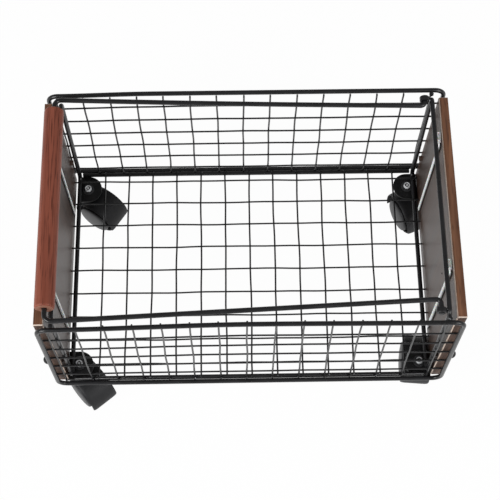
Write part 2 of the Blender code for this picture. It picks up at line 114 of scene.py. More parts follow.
class Finish:
    """A new material, or a given world, whose nodes are made by one method."""

    def __init__(self, name, world=None):
        self.material = world or bpy.data.materials.new(name)
        self.material.use_nodes = True
        self.tree = self.material.node_tree
        self.coords = None

    def node(self, kind, settings=None, sockets=None, out=0):
        made = self.tree.nodes.new(kind)
        for name, value in (settings or {}).items():
            setattr(made, name, value)
        for name, value in (sockets or {}).items():
            self.plug(made.inputs[name], value)
        return Sum(self, made.outputs[out])

    def plug(self, socket, value):
        if isinstance(value, Sum):
            self.tree.links.new(value.socket, socket)
        else:
            socket.default_value = value

    def place(self, *scale):
        """Object coordinates stretched by one number or by three."""
        self.coords = self.coords or self.node("ShaderNodeTexCoord", out="Object")
        scale = scale * 3 if len(scale) == 1 else scale
        return self.node("ShaderNodeVectorMath", {"operation": "MULTIPLY"}, {0: self.coords, 1: scale})

    def noise(self, *scale, detail=2.0, swirl=0.0):
        places = {"Vector": self.place(*scale), "Scale": 1.0, "Detail": detail, "Distortion": swirl}
        return self.node("ShaderNodeTexNoise", {}, places)

    def mix(self, share, first, second):
        return self.node("ShaderNodeMix", {"data_type": "RGBA"}, {0: share, 6: first, 7: second}, out=2)

    def bump(self, height, depth):
        return self.node("ShaderNodeBump", {}, {"Height": height, "Distance": depth, "Strength": 1.0})

    def surface(self, **values):
        shader = self.tree.nodes["Principled BSDF"]
        for name, value in values.items():
            self.plug(shader.inputs[name.replace("_", " ").title().replace("Ior", "IOR")], value)
        return self.material


def tone(red, green, blue):
    return (red, green, blue, 1.0)


# %% [markdown]
# The wire is powder coated: a satin black with a fine orange-peel skin, a little uneven in gloss, with
# specks of dust on it. One flat black would look like a drawn line, so noise at three sizes changes
# its tone, its gloss and its skin.

# %% Black coat on the wires
coat = Finish("black_coat")
peel = coat.noise(2400.0, detail=2.0)
patch = coat.noise(55.0, detail=3.0)
dust = coat.noise(1100.0, detail=3.0).rise(0.62, 0.74)
coat_base = coat.mix(patch.rise(0.3, 0.7), tone(0.0045, 0.0045, 0.0052), tone(0.0100, 0.0100, 0.0115))
coat_tone = coat.mix(dust * 0.25, coat_base, tone(0.055, 0.055, 0.058))
black_coat = coat.surface(
    base_color=coat_tone,
    roughness=0.20 + patch * 0.12 + peel * 0.06,
    normal=coat.bump(peel, 0.00005),
)
print(black_coat.name, len(coat.tree.nodes), "nodes")

# %% [markdown]
# Spot welds are lumps under the same coat. The coat is thin on their tips, so bright steel shows
# through in specks. One mask gives both the colour and the metal, so the specks are steel and not grey
# paint.

# %% Coat on the welds
weld = Finish("weld_coat")
lump = weld.noise(1700.0, detail=3.0)
bare = weld.noise(420.0, detail=2.0).rise(0.60, 0.70)
weld_coat = weld.surface(
    base_color=weld.mix(bare, tone(0.008, 0.008, 0.009), tone(0.42, 0.43, 0.45)),
    roughness=0.36 + lump * 0.2,
    metallic=bare,
    normal=weld.bump(lump, 0.00012),
)
print(weld_coat.name, len(weld.tree.nodes), "nodes")

# %% [markdown]
# A new piece is a bmesh turned into an object. It rides on a body of the imported model and stands for
# the node that it replaces. One function does this for every piece, so that no step is forgotten.


# %% From bmesh to piece
def node_box(node):
    """Middle and half size of a node."""
    low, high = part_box(node)
    return (low + high) / 2, (high - low) / 2


def make_piece(name, bm, finishes, body, slot, *nodes, crease=35.0):
    bmesh.ops.recalc_face_normals(bm, faces=bm.faces)
    mesh = bpy.data.meshes.new(name)
    bm.to_mesh(mesh)
    bm.free()
    mesh.shade_smooth()
    mesh.set_sharp_from_angle(angle=math.radians(crease))
    for finish in finishes:
        mesh.materials.append(finish)
    made = bpy.data.objects.new(name, mesh)
    bpy.context.scene.collection.objects.link(made)
    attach(made, body)
    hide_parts(*nodes)
    print(name, len(mesh.polygons), "faces")


# %% [markdown]
# Thick wire is bent on a former, so it is straight with round bends. A curve with a round bevel could
# show it, but a spline rounds its corners unevenly. Here a circle is carried along as the wire is bent:
# extruded on the straights and spun about the centre of each bend.


# %% Wire with round bends
def only(geometry, kind):
    return [g for g in geometry if isinstance(g, kind)]


def each_once(items):
    """A list without repeats that has the same order in every run."""
    return list(dict.fromkeys(items))


def carry(bm, ring, move):
    """Extrudes a ring of edges by a move and gives the new ring."""
    grown = bmesh.ops.extrude_edge_only(bm, edges=ring)["geom"]
    verts = only(grown, bmesh.types.BMVert)
    bmesh.ops.translate(bm, verts=verts, vec=move)
    return [e for e in only(grown, bmesh.types.BMEdge) if set(e.verts) <= set(verts)]


def facing(direction, place):
    """A matrix that turns Z to a direction and moves the origin to a place."""
    return Matrix.Translation(place) @ direction.to_track_quat("Z", "Y").to_matrix().to_4x4()


def bent_wire(bm, corners, radii, thickness, closed=False, sides=14, steps=7):
    """Carries a circle past corners that are bent to radii, round to its start if closed."""
    corners = [Vector(c) for c in corners]
    first = (corners[0] + corners[1]) / 2 if closed else corners[0]
    turns = corners[1:] + corners[:1] if closed else corners[1:-1]
    stops = [first, *turns, first if closed else corners[-1]]
    ahead = (stops[1] - first).normalized()
    circle = bmesh.ops.create_circle(bm, segments=sides, radius=thickness / 2, matrix=facing(ahead, first))
    start = each_once(e for v in circle["verts"] for e in v.link_edges)
    ring = start
    spot = first
    for i, corner in enumerate(turns):
        after = (stops[i + 2] - corner).normalized()
        turn = ahead.angle(after)
        reach = radii[i] * math.tan(turn / 2)
        axis = ahead.cross(after).normalized()
        bend = corner - ahead * reach
        ring = carry(bm, ring, bend - spot)
        spun = bmesh.ops.spin(
            bm,
            geom=ring,
            cent=bend + axis.cross(ahead) * radii[i],
            axis=axis,
            angle=turn,
            steps=steps,
            use_merge=False,
            use_normal_flip=False,
            use_duplicate=False,
        )
        ring = only(spun["geom_last"], bmesh.types.BMEdge)
        spot = corner + after * reach
        ahead = after
    ring = carry(bm, ring, stops[-1] - spot)
    if closed:
        bmesh.ops.remove_doubles(bm, verts=bm.verts, dist=1e-5)
        return
    for end in (start, ring):
        bmesh.ops.contextual_create(bm, geom=end)
    rims = [e for e in bm.edges if len(e.link_faces) == 2 and e.calc_face_angle() > 1.2]
    bmesh.ops.bevel(
        bm,
        geom=rims,
        offset=thickness * 0.14,
        segments=2,
        profile=0.5,
        affect="EDGES",
        material=-1,
    )


# %% [markdown]
# Each wall hangs in a loop of thick wire: the rim that a hand lifts, two legs, and a bottom rail. The
# trolley has been used: the tops of its walls lean towards the front by up to 3 mm, most at the left
# end, and the rings and boards lean with them. A lattice could bend them all, but one soft push on
# their points is shorter and easy to read.


# %% Walls pushed towards the front
def soft_step(value):
    value = min(max(value, 0.0), 1.0)
    return value * value * (3 - 2 * value)


RAIL_Z = 0.0568
RIM_Z = 0.2136
HALF_LENGTH = 0.1875
LEFT_PART = 0.09
INNER_Y = 0.05
WALL_BAND = 0.055
FRONT_LEFT_LEAN = 0.0030
FRONT_RIGHT_LEAN = 0.0012
REAR_LEAN = 0.0006
REAR_LEFT_LEAN = 0.0016


def lean_out(bm):
    """Pushes the front and rear bands towards the front, from nothing at the rails to all at the rim."""
    for vert in bm.verts:
        x, y, z = vert.co
        front = FRONT_LEFT_LEAN * soft_step(-x / HALF_LENGTH) + FRONT_RIGHT_LEAN * soft_step(x / HALF_LENGTH)
        rear = REAR_LEAN + REAR_LEFT_LEAN * soft_step((-x - LEFT_PART) / LEFT_PART)
        push = front * soft_step((-y - INNER_Y) / WALL_BAND) + rear * soft_step((y - INNER_Y) / WALL_BAND)
        vert.co.y -= push * max(z - RAIL_Z, 0.0) / (RIM_Z - RAIL_Z)


def refine(bm, longer, cuts):
    """Cuts long straight runs so that they can follow a soft bend."""
    runs = [e for e in bm.edges if e.calc_length() > longer]
    bmesh.ops.subdivide_edges(bm, edges=runs, cuts=cuts, use_grid_fill=True)


# %% Wall frames
FRAME_BEND = 0.009
for face in ("front", "rear"):
    node = face + "_wall_frame"
    mid, half = node_box(node)
    wire_d = 2 * half.y
    leg = half.x - half.y
    rise = half.z - half.y
    loop = [(-leg, rise), (leg, rise), (leg, -rise), (-leg, -rise)]
    bm = bmesh.new()
    bent_wire(bm, [mid + Vector((x, 0, z)) for x, z in loop], [FRAME_BEND] * 4, wire_d, closed=True)
    refine(bm, 0.1, 11)
    lean_out(bm)
    make_piece(face + "_frame_wire", bm, [black_coat], "basket", "coated_wire", node)

# %% [markdown]
# A ring of the same wire stands inside each end. Its floor bar carries the long floor wires, its top
# bar carries the handle's pivots at the right and the folded grip at the left. It is bent like a wall
# frame, with tighter bends.

# %% End rings
RING_BEND = 0.005
for side in ("left", "right"):
    node = "end_ring_" + side
    mid, half = node_box(node)
    post = half.y - half.x
    rise = half.z - half.x
    loop = [(-post, rise), (post, rise), (post, -rise), (-post, -rise)]
    bm = bmesh.new()
    bent_wire(bm, [mid + Vector((0, y, z)) for y, z in loop], [RING_BEND] * 4, 2 * half.x, closed=True)
    refine(bm, 0.09, 11)
    lean_out(bm)
    make_piece("ring_wire_" + side, bm, [black_coat], "basket", "coated_wire", node)

# %% [markdown]
# Two straight rails run under the floor mesh, side by side with the bottom rails of the walls. The same
# function makes them, from two ends and no bend, and rounds their cut ends.

# %% Floor rails
for face in ("front", "rear"):
    node = "floor_rail_" + face
    mid, half = node_box(node)
    ends = [mid - Vector((half.x, 0, 0)), mid + Vector((half.x, 0, 0))]
    bm = bmesh.new()
    bent_wire(bm, ends, [], 2 * half.y)
    make_piece("rail_wire_" + face, bm, [black_coat], "basket", "coated_wire", node)

# %% [markdown]
# The mesh is thin wire in two layers, spot-welded at every crossing. Thin wire is never quite straight
# after welding and coating, so each wire sways a little, by a seed of its own. Noise on every point
# would crumple it, so three slow waves are added along its length.


# %% Thin wires that sway
class ThinWire:
    """A straight run between two points that sways along one direction."""

    def __init__(self, start, end, sway, seed):
        self.start = Vector(start)
        self.end = Vector(end)
        self.sway = Vector(sway)
        draw = random.Random(seed)
        shares = ((0.00026, 0.150), (0.00018, 0.083), (0.00010, 0.046))
        self.waves = [(a, 2 * math.pi / span, draw.uniform(0, 2 * math.pi)) for a, span in shares]

    def lean(self, along):
        """How far the wire is out of line at a distance along it."""
        return self.sway * sum(a * math.sin(k * along + phase) for a, k, phase in self.waves)

    def build(self, bm, thickness, spacing=0.0125):
        run = self.end - self.start
        place = facing(run, (self.start + self.end) / 2)
        before = len(bm.verts)
        cone = {"cap_ends": True, "segments": 8, "radius1": thickness / 2, "radius2": thickness / 2}
        made = bmesh.ops.create_cone(bm, depth=run.length, matrix=place, **cone)["verts"]
        edges = each_once(e for v in made for e in v.link_edges)
        sides = [e for e in edges if e.calc_length() > run.length / 2]
        bmesh.ops.subdivide_edges(bm, edges=sides, cuts=int(run.length / spacing), use_grid_fill=True)
        bm.verts.ensure_lookup_table()
        for vert in bm.verts[before:]:
            vert.co += self.lean((vert.co - self.start).dot(run.normalized()))


def nugget(bm, place, radii):
    """A weld lump with the second finish of its piece."""
    matrix = Matrix.Translation(place) @ Matrix.Diagonal((*radii, 1))
    made = bmesh.ops.create_icosphere(bm, subdivisions=1, radius=1, matrix=matrix)["verts"]
    for face in each_once(f for v in made for f in v.link_faces):
        face.material_index = 1


# %% [markdown]
# Wall mesh: fifteen uprights lie against the inside of the frame with their tips under the rim, and six
# level wires run the full length on the inner side of the uprights. An array of one wire would be
# shorter, but then all of them would sway alike.

# %% Wall meshes
PITCH = 0.025
UPRIGHT_SHIFT = -0.003
LEVEL_FROM = 0.0725
TIP_DROP = 0.0020
MESH_D = 0.0016
WIRE_D = 0.00175  # with its coat
frame_mid, frame_half = node_box("front_wall_frame")
rim_z = frame_mid.z + frame_half.z - frame_half.y
ring_x = node_box("end_ring_right")[0].x
uprights_x = [UPRIGHT_SHIFT + PITCH * i for i in range(-7, 8)]
levels_z = [LEVEL_FROM + PITCH * i for i in range(6)]
for face, sign in (("front", -1), ("rear", 1)):
    node = face + "_wall_mesh"
    mid, half = node_box(node)
    upright_y = mid.y + sign * (half.y - MESH_D / 2)
    level_y = mid.y - sign * (half.y - MESH_D / 2)
    low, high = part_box(node)
    tip_z = rim_z - TIP_DROP
    uprights = [
        ThinWire((x, upright_y, low.z), (x, upright_y, tip_z), (1, 0, 0), 100 * sign + i)
        for i, x in enumerate(uprights_x)
    ]
    levels = [
        ThinWire((low.x, level_y, z), (high.x, level_y, z), (0, 0, 1), 300 * sign + i)
        for i, z in enumerate(levels_z)
    ]
    bm = bmesh.new()
    for run in uprights + levels:
        run.build(bm, WIRE_D)
    for upright in uprights:
        for level in levels:
            spot = Vector((upright.start.x, (upright_y + level_y) / 2, level.start.z))
            spot += upright.lean(spot.z - low.z) + level.lean(spot.x - low.x)
            nugget(bm, spot, (0.0010, 0.0009, 0.0010))
        for z, size in ((tip_z, 0.0010), (low.z, 0.0015)):
            spot = Vector((upright.start.x, upright_y + sign * 0.0009, z)) + upright.lean(z - low.z)
            nugget(bm, spot, (size, 0.0009, size))
    for x in (-ring_x, ring_x):
        for z in levels_z:
            nugget(bm, Vector((x, level_y - sign * 0.0009, z)), (0.0016, 0.0009, 0.0013))
        nugget(bm, Vector((x, upright_y - sign * 0.0006, rim_z)), (0.0024, 0.0030, 0.0017))
    lean_out(bm)
    make_piece(face + "_mesh_wires", bm, [black_coat, weld_coat], "basket", "coated_wire", node)

# %% [markdown]
# Floor mesh: the short wires lie across the two rails, and the long wires lie on them and on the
# rings' floor bars. It is made like the walls, at a slightly finer pitch.

# %% Floor mesh
FLOOR_PITCH = 0.0248
SHORT_SHIFT = 0.0025
LONG_SHIFT = 0.0007
low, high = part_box("floor_mesh")
short_z = low.z + MESH_D / 2
long_z = high.z - MESH_D / 2
rail_y = node_box("floor_rail_rear")[0].y
shorts = [
    ThinWire((x, low.y, short_z), (x, high.y, short_z), (1, 0, 0), 500 + i)
    for i, x in enumerate(SHORT_SHIFT + FLOOR_PITCH * i for i in range(-6, 7))
]
longs = []
for i in range(9):
    y = LONG_SHIFT + FLOOR_PITCH * (i - 4)
    longs.append(ThinWire((low.x, y, long_z), (high.x, y, long_z), (0, 1, 0), 600 + i))
bm = bmesh.new()
for run in shorts + longs:
    run.build(bm, WIRE_D)
for short in shorts:
    for long in longs:
        spot = Vector((short.start.x, long.start.y, (short_z + long_z) / 2))
        spot += short.lean(spot.y - low.y) + long.lean(spot.x - long.start.x)
        nugget(bm, spot, (0.0010, 0.0010, 0.0009))
    for y in (-rail_y, rail_y):
        spot = Vector((short.start.x, y, short_z - 0.0007)) + short.lean(y - low.y)
        nugget(bm, spot, (0.0016, 0.0017, 0.0010))
for long in longs:
    for x in (-ring_x, ring_x):
        spot = Vector((x, long.start.y, long_z - 0.0007)) + long.lean(x - long.start.x)
        nugget(bm, spot, (0.0017, 0.0016, 0.0010))
make_piece("floor_mesh_wires", bm, [black_coat, weld_coat], "basket", "coated_wire", "floor_mesh")

# %% [markdown]
# The handle is one wire bent into a bail. Its ends turn out into pins, and the bail is a little wider
# at the grip than at the pivots. It lies askew, and use has bowed its rear arm inwards by a millimetre,
# so its corners are given one by one and not mirrored.

# %% Handle wire
joint_at = {j["name"]: Vector(j["pos_m"]) for j in frame["joints"]}
grip_mid, grip_half = node_box("handle_grip")
pivot = joint_at["handle_pivot"]
HANDLE_D = 0.0045
PIN_BEND = 0.004
GRIP_BEND = 0.006
REAR_BOW = 0.0010
bail = [
    Vector((pivot.x, -0.1091, pivot.z)),
    Vector((pivot.x, -0.0948, pivot.z)),
    Vector((grip_mid.x, -0.1146, grip_mid.z)),
    Vector((grip_mid.x, 0.1031, grip_mid.z)),
    Vector((pivot.x, 0.0985, pivot.z)),
    Vector((pivot.x, 0.1091, pivot.z)),
]
bm = bmesh.new()
bent_wire(bm, bail, [PIN_BEND, GRIP_BEND, GRIP_BEND, PIN_BEND], HANDLE_D)
refine(bm, 0.25, 15)
for vert in bm.verts:
    along = (vert.co.x - grip_mid.x) / (pivot.x - grip_mid.x)
    if vert.co.y > 0.09 and 0 < along < 1:
        vert.co.y -= REAR_BOW * math.sin(math.pi * along)
make_piece("handle_bail", bm, [black_coat], "handle", "coated_wire", "handle_wire")

# %% [markdown]
# Turned pieces, such as the grip, the wheels and the rivets, start as half an outline that is spun
# round an axis, as on a lathe. Stacked cylinders would need joining, and this shell comes out whole.
# Sharp edges left by the spin get a small round, because every real edge catches light.


# %% Turned shells and soft edges
def turned(bm, outline, matrix, closed=False, sides=32):
    """Spins (radius, height) points round Z, moves the shell by a matrix and gives its faces."""
    before = set(bm.verts)
    points = [bm.verts.new((r, 0, h)) for r, h in outline]
    edges = [bm.edges.new(pair) for pair in zip(points, points[1:])]
    if closed:
        edges.append(bm.edges.new((points[-1], points[0])))
    bmesh.ops.spin(
        bm,
        geom=points + edges,
        cent=(0, 0, 0),
        axis=(0, 0, 1),
        angle=2 * math.pi,
        steps=sides,
        use_merge=True,
        use_normal_flip=False,
        use_duplicate=False,
    )
    bmesh.ops.remove_doubles(bm, verts=[v for v in bm.verts if v not in before], dist=1e-6)
    made = [v for v in bm.verts if v not in before]
    bmesh.ops.transform(bm, matrix=matrix, verts=made)
    return each_once(f for v in made for f in v.link_faces)


def soften(bm, faces, width, angle=40.0):
    """Rounds the sharp edges of some faces."""
    edges = each_once(e for f in faces for e in f.edges if len(e.link_faces) == 2)
    sharp = [e for e in edges if e.calc_face_angle() > math.radians(angle)]
    bmesh.ops.bevel(
        bm,
        geom=sharp,
        offset=width,
        segments=2,
        profile=0.5,
        affect="EDGES",
        material=-1,
        clamp_overlap=True,
    )


def block(bm, mid, half):
    """A box that gives its faces."""
    place = Matrix.Translation(mid) @ Matrix.Diagonal((*half, 1))
    made = bmesh.ops.create_cube(bm, size=2, matrix=place)["verts"]
    return each_once(f for v in made for f in v.link_faces)


# %% [markdown]
# The end panels are thin boards under a dark glossy lacquer. On the faces the grain is faint and the
# gloss shows most. The sawn edges are redder, with open grain, and where a face was trimmed the cut
# corner leaves a pale line of bare wood, painted paler still as a highlight. One finish can't be all of
# these, so each kind of face has its own.

# %% Lacquer on the panel faces
face_coat = Finish("panel_lacquer")
fibre = face_coat.noise(300.0, 420.0, 9.0, detail=4.0, swirl=0.3)
band = face_coat.noise(40.0, 60.0, 2.2, detail=3.0, swirl=0.6)
lacquer_base = face_coat.mix(band.rise(0.32, 0.68), tone(0.034, 0.020, 0.015), tone(0.066, 0.037, 0.026))
lacquer_tone = face_coat.mix(fibre.rise(0.52, 0.70) * 0.45, lacquer_base, tone(0.110, 0.068, 0.050))
ripple = face_coat.noise(14.0, 14.0, 3.0, detail=1.0)
panel_lacquer = face_coat.surface(
    base_color=lacquer_tone,
    roughness=0.36 + band * 0.10 + fibre * 0.05,
    normal=face_coat.bump(fibre * 0.12 + ripple * 0.88, 0.00012),
    specular_ior_level=0.34,
)
print(panel_lacquer.name, len(face_coat.tree.nodes), "nodes")

# %% Stain on the sawn edges
edge_coat = Finish("panel_edge_stain")
pore = edge_coat.noise(900.0, 55.0, 900.0, detail=4.0, swirl=0.4)
streak = edge_coat.noise(210.0, 11.0, 210.0, detail=3.0, swirl=0.8)
edge_base = edge_coat.mix(streak.rise(0.30, 0.70), tone(0.120, 0.050, 0.026), tone(0.235, 0.108, 0.058))
edge_tone = edge_coat.mix(pore.rise(0.55, 0.68) * 0.7, edge_base, tone(0.050, 0.022, 0.015))
panel_edge_stain = edge_coat.surface(
    base_color=edge_tone,
    roughness=0.46 + streak * 0.18,
    normal=edge_coat.bump(pore, 0.00012),
    specular_ior_level=0.3,
)
print(panel_edge_stain.name, len(edge_coat.tree.nodes), "nodes")

# %% Dark stain on the end grain
end_coat = Finish("panel_end_stain")
speck = end_coat.noise(500.0, 500.0, 90.0, detail=4.0, swirl=0.4)
end_base = end_coat.mix(speck.rise(0.30, 0.70), tone(0.045, 0.026, 0.019), tone(0.120, 0.070, 0.050))
panel_end_stain = end_coat.surface(
    base_color=end_base,
    roughness=0.55 + speck * 0.2,
    normal=end_coat.bump(speck, 0.00010),
    specular_ior_level=0.3,
)
print(panel_end_stain.name, len(end_coat.tree.nodes), "nodes")

# %% Bare wood and a painted highlight on the cut corners
bare_and_highlight_coat = Finish("bare_corner_and_highlight")
thread = bare_and_highlight_coat.noise(700.0, 60.0, 240.0, detail=3.0)
# Pale bare wood, made paler still as a painted highlight along the chamfer.
bare_and_highlight_tone = bare_and_highlight_coat.mix(thread.rise(0.3, 0.7), tone(0.60, 0.46, 0.37), tone(0.84, 0.73, 0.64))
bare_corner_and_highlight = bare_and_highlight_coat.surface(
    base_color=bare_and_highlight_tone,
    roughness=0.55 + thread * 0.15,
    normal=bare_and_highlight_coat.bump(thread, 0.00008),
)
print(bare_corner_and_highlight.name, len(bare_and_highlight_coat.tree.nodes), "nodes")

# %% [markdown]
# A panel is a board whose inner and end corners were broken by a narrow chamfer after staining. The
# chamfer faces come out of the bevel by themselves, so they take the pale bare-wood finish with its
# painted highlight there and then. Each board's foot sits further in than its top, so the board and
# its ties are tucked in there.


# %% Boards tucked in at the foot
BOARD_TOP = 0.2106
BOARD_TALL = 0.16
TUCK = 0.0024


def tuck_in(bm):
    """Leans a board and what it carries inwards at the foot."""
    for vert in bm.verts:
        low_share = (BOARD_TOP - vert.co.z) / BOARD_TALL
        vert.co.x -= math.copysign(TUCK * low_share, vert.co.x)


# %% End panels
HALF_EXTRA = 0.0004  # boards are thicker outwards by twice this
CHAMFER = 0.0009
finishes = [panel_lacquer, panel_edge_stain, bare_corner_and_highlight, panel_end_stain]
for side in ("left", "right"):
    node = "end_panel_" + side
    mid, half = node_box(node)
    bm = bmesh.new()
    wider = Vector((math.copysign(HALF_EXTRA, mid.x), 0, 0))
    faces = block(bm, mid + wider, half + Vector((HALF_EXTRA, 0, 0)))
    for face in faces:
        normal = face.normal
        face.material_index = 0 if abs(normal.x) > 0.5 else 3 if abs(normal.y) > 0.5 else 1
    inner = min(faces, key=lambda f: f.normal.x * mid.x)
    trimmed = [e for e in bm.edges if inner in list(e.link_faces) or e.calc_length() < 0.01]
    chamfer = bmesh.ops.bevel(
        bm, geom=trimmed, offset=CHAMFER, segments=1, profile=0.5, affect="EDGES", material=-1
    )
    # The chamfer faces take the pale bare wood with its painted highlight.
    for face in chamfer["faces"]:
        face.material_index = 2
    soften(bm, [f for f in bm.faces if f.material_index in (1, 3)], 0.0004, angle=60.0)
    tuck_in(bm)
    lean_out(bm)
    make_piece("panel_board_" + side, bm, finishes, "basket", "panel_wood", node, crease=20.0)

# %% [markdown]
# Each panel is pulled to its ring by two white nylon ties. A tie is a strap with teeth across it and a
# square head. A black strip behind the strap is painted shade, the strap's shadow on the board. The teeth
# could be a bump in the finish, but they catch the light from the side, so they are cut by insetting
# every small face of the strap on its own.

# %% Nylon
nylon_coat = Finish("white_nylon")
cloudy = nylon_coat.noise(160.0, detail=3.0)
scuff = nylon_coat.noise(1500.0, detail=2.0)
white_nylon = nylon_coat.surface(
    base_color=nylon_coat.mix(cloudy.rise(0.3, 0.7), tone(0.88, 0.88, 0.87), tone(0.96, 0.96, 0.95)),
    roughness=0.38 + scuff * 0.18,
    normal=nylon_coat.bump(scuff, 0.00004),
    subsurface_weight=0.12,
    subsurface_scale=0.002,
)
print(white_nylon.name, len(nylon_coat.tree.nodes), "nodes")

# %% Ties
STRAP_WIDTH = {"left": 0.0018, "right": 0.0036}
SHADOW_STRIP_WIDTH = 0.0068
HALF_LAYER = 0.0003  # strap and shadow strip are each twice this thick
HEAD_HEIGHT = 0.010
HEAD_SHIFT = 0.005
TOOTH = 0.0014
TOOTH_RIM = 0.0003
TOOTH_DEPTH = 0.0002
for where in ("left_front", "left_rear", "right_front", "right_rear"):
    node = "panel_tie_" + where
    mid, half = node_box(node)
    low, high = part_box(node)
    strap_top = high.z - HEAD_HEIGHT / 2
    tall = (strap_top - low.z) / 2
    outward = math.copysign(HALF_LAYER, mid.x)
    strap_mid = Vector((mid.x + 3 * outward, mid.y, low.z + tall))
    bm = bmesh.new()
    block(bm, strap_mid, Vector((HALF_LAYER, STRAP_WIDTH[where.split("_")[0]] / 2, tall)))
    refine(bm, 0.05, int(2 * tall / TOOTH))
    teeth = [f for f in bm.faces if abs(f.normal.x) > 0.5]
    bmesh.ops.inset_individual(bm, faces=teeth, thickness=TOOTH_RIM, depth=-TOOTH_DEPTH)
    head_mid = Vector((mid.x, mid.y + HEAD_SHIFT, strap_top))
    head = block(bm, head_mid, Vector((half.x, half.y, HEAD_HEIGHT / 2)))
    mouth = [f for f in head if f.normal.z > 0.5]
    bmesh.ops.inset_region(bm, faces=mouth, thickness=0.0009, depth=0.0)
    bmesh.ops.inset_region(bm, faces=mouth, thickness=0.0002, depth=-0.003)
    soften(bm, [f for f in head if f.is_valid], 0.0005)
    # Behind the strap a black strip, wider than the strap, is painted shade: the strap's shadow on the
    # board.
    shadow_strip = block(bm, strap_mid + Vector((2 * outward, 0, 0)), Vector((HALF_LAYER, SHADOW_STRIP_WIDTH / 2, tall)))
    for face in shadow_strip:
        face.material_index = 1
    tuck_in(bm)
    make_piece("nylon_tie_" + where, bm, [white_nylon, black_coat], "basket", "nylon", node)

# %% [markdown]
# Bolts and castor plates are black painted steel: darker and flatter than the wire's coat, rubbed to a
# faint grey where tools and hands touch it. Two bolts with domed heads go through the front and rear
# ends of each board into slim nuts, which are coloured like the board. A flange under each head reaches
# down to the board. Both are turned pieces, so one outline each is enough.

# %% Black paint on the small steel
paint = Finish("black_paint")
grit = paint.noise(1300.0, detail=3.0)
rub = paint.noise(130.0, detail=4.0, swirl=0.5).rise(0.56, 0.72)
black_paint = paint.surface(
    base_color=paint.mix(rub * 0.5, tone(0.0075, 0.0075, 0.008), tone(0.030, 0.030, 0.032)),
    roughness=0.44 + grit * 0.18 - rub * 0.08,
    normal=paint.bump(grit, 0.00005),
    specular_ior_level=0.3,
)
print(black_paint.name, len(paint.tree.nodes), "nodes")

# %% Bolts and nuts
HEAD_RISE = 0.007
DOME_FOOT = 0.0022
FLANGE = 0.0022
PROUD = 0.0008
SHANK_R = 0.002
NUT_R = 0.0027
NUT_BORE = 0.0022
for where in ("left_front", "left_rear", "right_front", "right_rear"):
    node = "panel_bolt_" + where
    mid, half = node_box(node)
    head_r = half.y
    shank = 2 * half.x - HEAD_RISE
    arc = [math.radians(90 - 12 * i) for i in range(8)]
    outline = [
        (0.9 * head_r * math.cos(a), DOME_FOOT + (HEAD_RISE - DOME_FOOT) * math.sin(a)) for a in arc
    ]
    outline += [(head_r, 0.0018), (head_r, -FLANGE), (SHANK_R, -FLANGE), (SHANK_R, -shank), (0.0, -shank)]
    outward = Vector((1, 0, 0)) if mid.x > 0 else Vector((-1, 0, 0))
    seat = mid + outward * (half.x - HEAD_RISE)
    bm = bmesh.new()
    soften(bm, turned(bm, outline, facing(outward, seat + outward * PROUD)), 0.0002)
    make_piece("dome_bolt_" + where, bm, [black_paint], "basket", "black_steel", node)
    node = "panel_nut_" + where
    mid, half = node_box(node)
    outline = [(NUT_BORE, half.x), (NUT_R, half.x), (NUT_R, -half.x), (NUT_BORE, -half.x)]
    bm = bmesh.new()
    soften(bm, turned(bm, outline, facing(outward, mid), closed=True, sides=16), 0.0002)
    make_piece("slim_nut_" + where, bm, [panel_lacquer], "basket", "black_steel", node)

# %% [markdown]
# One small dark tack shows on the inner face of the right board. It is turned as well, and its place
# follows the tucked board.

# %% Tack in the right board
TACK_R = 0.0010
PIN_R = 0.0005
PIN_LENGTH = 0.002
bm = bmesh.new()
tack = Vector((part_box("end_panel_right")[0].x, -0.0467, 0.1559))
tack.x -= TUCK * (BOARD_TOP - tack.z) / BOARD_TALL
outline = [(0.0, 0.0006), (0.0006, 0.0005), (TACK_R, 0.0002), (TACK_R, 0.0)]
outline += [(PIN_R, 0.0), (PIN_R, -PIN_LENGTH), (0.0, -PIN_LENGTH)]
turned(bm, outline, facing(Vector((-1, 0, 0)), tack), sides=16)
make_piece("panel_tack", bm, [black_paint], "basket", "black_steel")

# %% [markdown]
# The grip is a dowel stained red-brown. The stain sinks in unevenly along the grain, and the turned
# ends stay paler. It turns on the handle's wire, which runs through its bore. A plain cylinder would
# have knife-sharp ends, so an outline with rounded ends and the bore in it is spun.

# %% Stain on the grip
stain = Finish("grip_stain")
long_grain = stain.noise(880.0, 34.0, 880.0, detail=4.0, swirl=0.25)
broad = stain.noise(120.0, 5.0, 120.0, detail=3.0, swirl=0.5)
stain_base = stain.mix(broad.rise(0.30, 0.70), tone(0.190, 0.050, 0.029), tone(0.305, 0.089, 0.054))
stain_tone = stain.mix(long_grain.rise(0.52, 0.66) * 0.9, stain_base, tone(0.100, 0.026, 0.015))
grip_stain = stain.surface(
    base_color=stain_tone,
    roughness=0.36 + broad * 0.14 + long_grain * 0.08,
    normal=stain.bump(long_grain, 0.00012),
    specular_ior_level=0.25,
)
print(grip_stain.name, len(stain.tree.nodes), "nodes")

# %% End grain of the grip
cut = Finish("end_grain")
rings = cut.noise(900.0, 60.0, 900.0, detail=3.0, swirl=0.6)
cut_tone = cut.mix(rings.rise(0.3, 0.7), tone(0.19, 0.078, 0.048), tone(0.32, 0.140, 0.092))
end_grain = cut.surface(base_color=cut_tone, roughness=0.5 + rings * 0.2, normal=cut.bump(rings, 0.00010))
print(end_grain.name, len(cut.tree.nodes), "nodes")

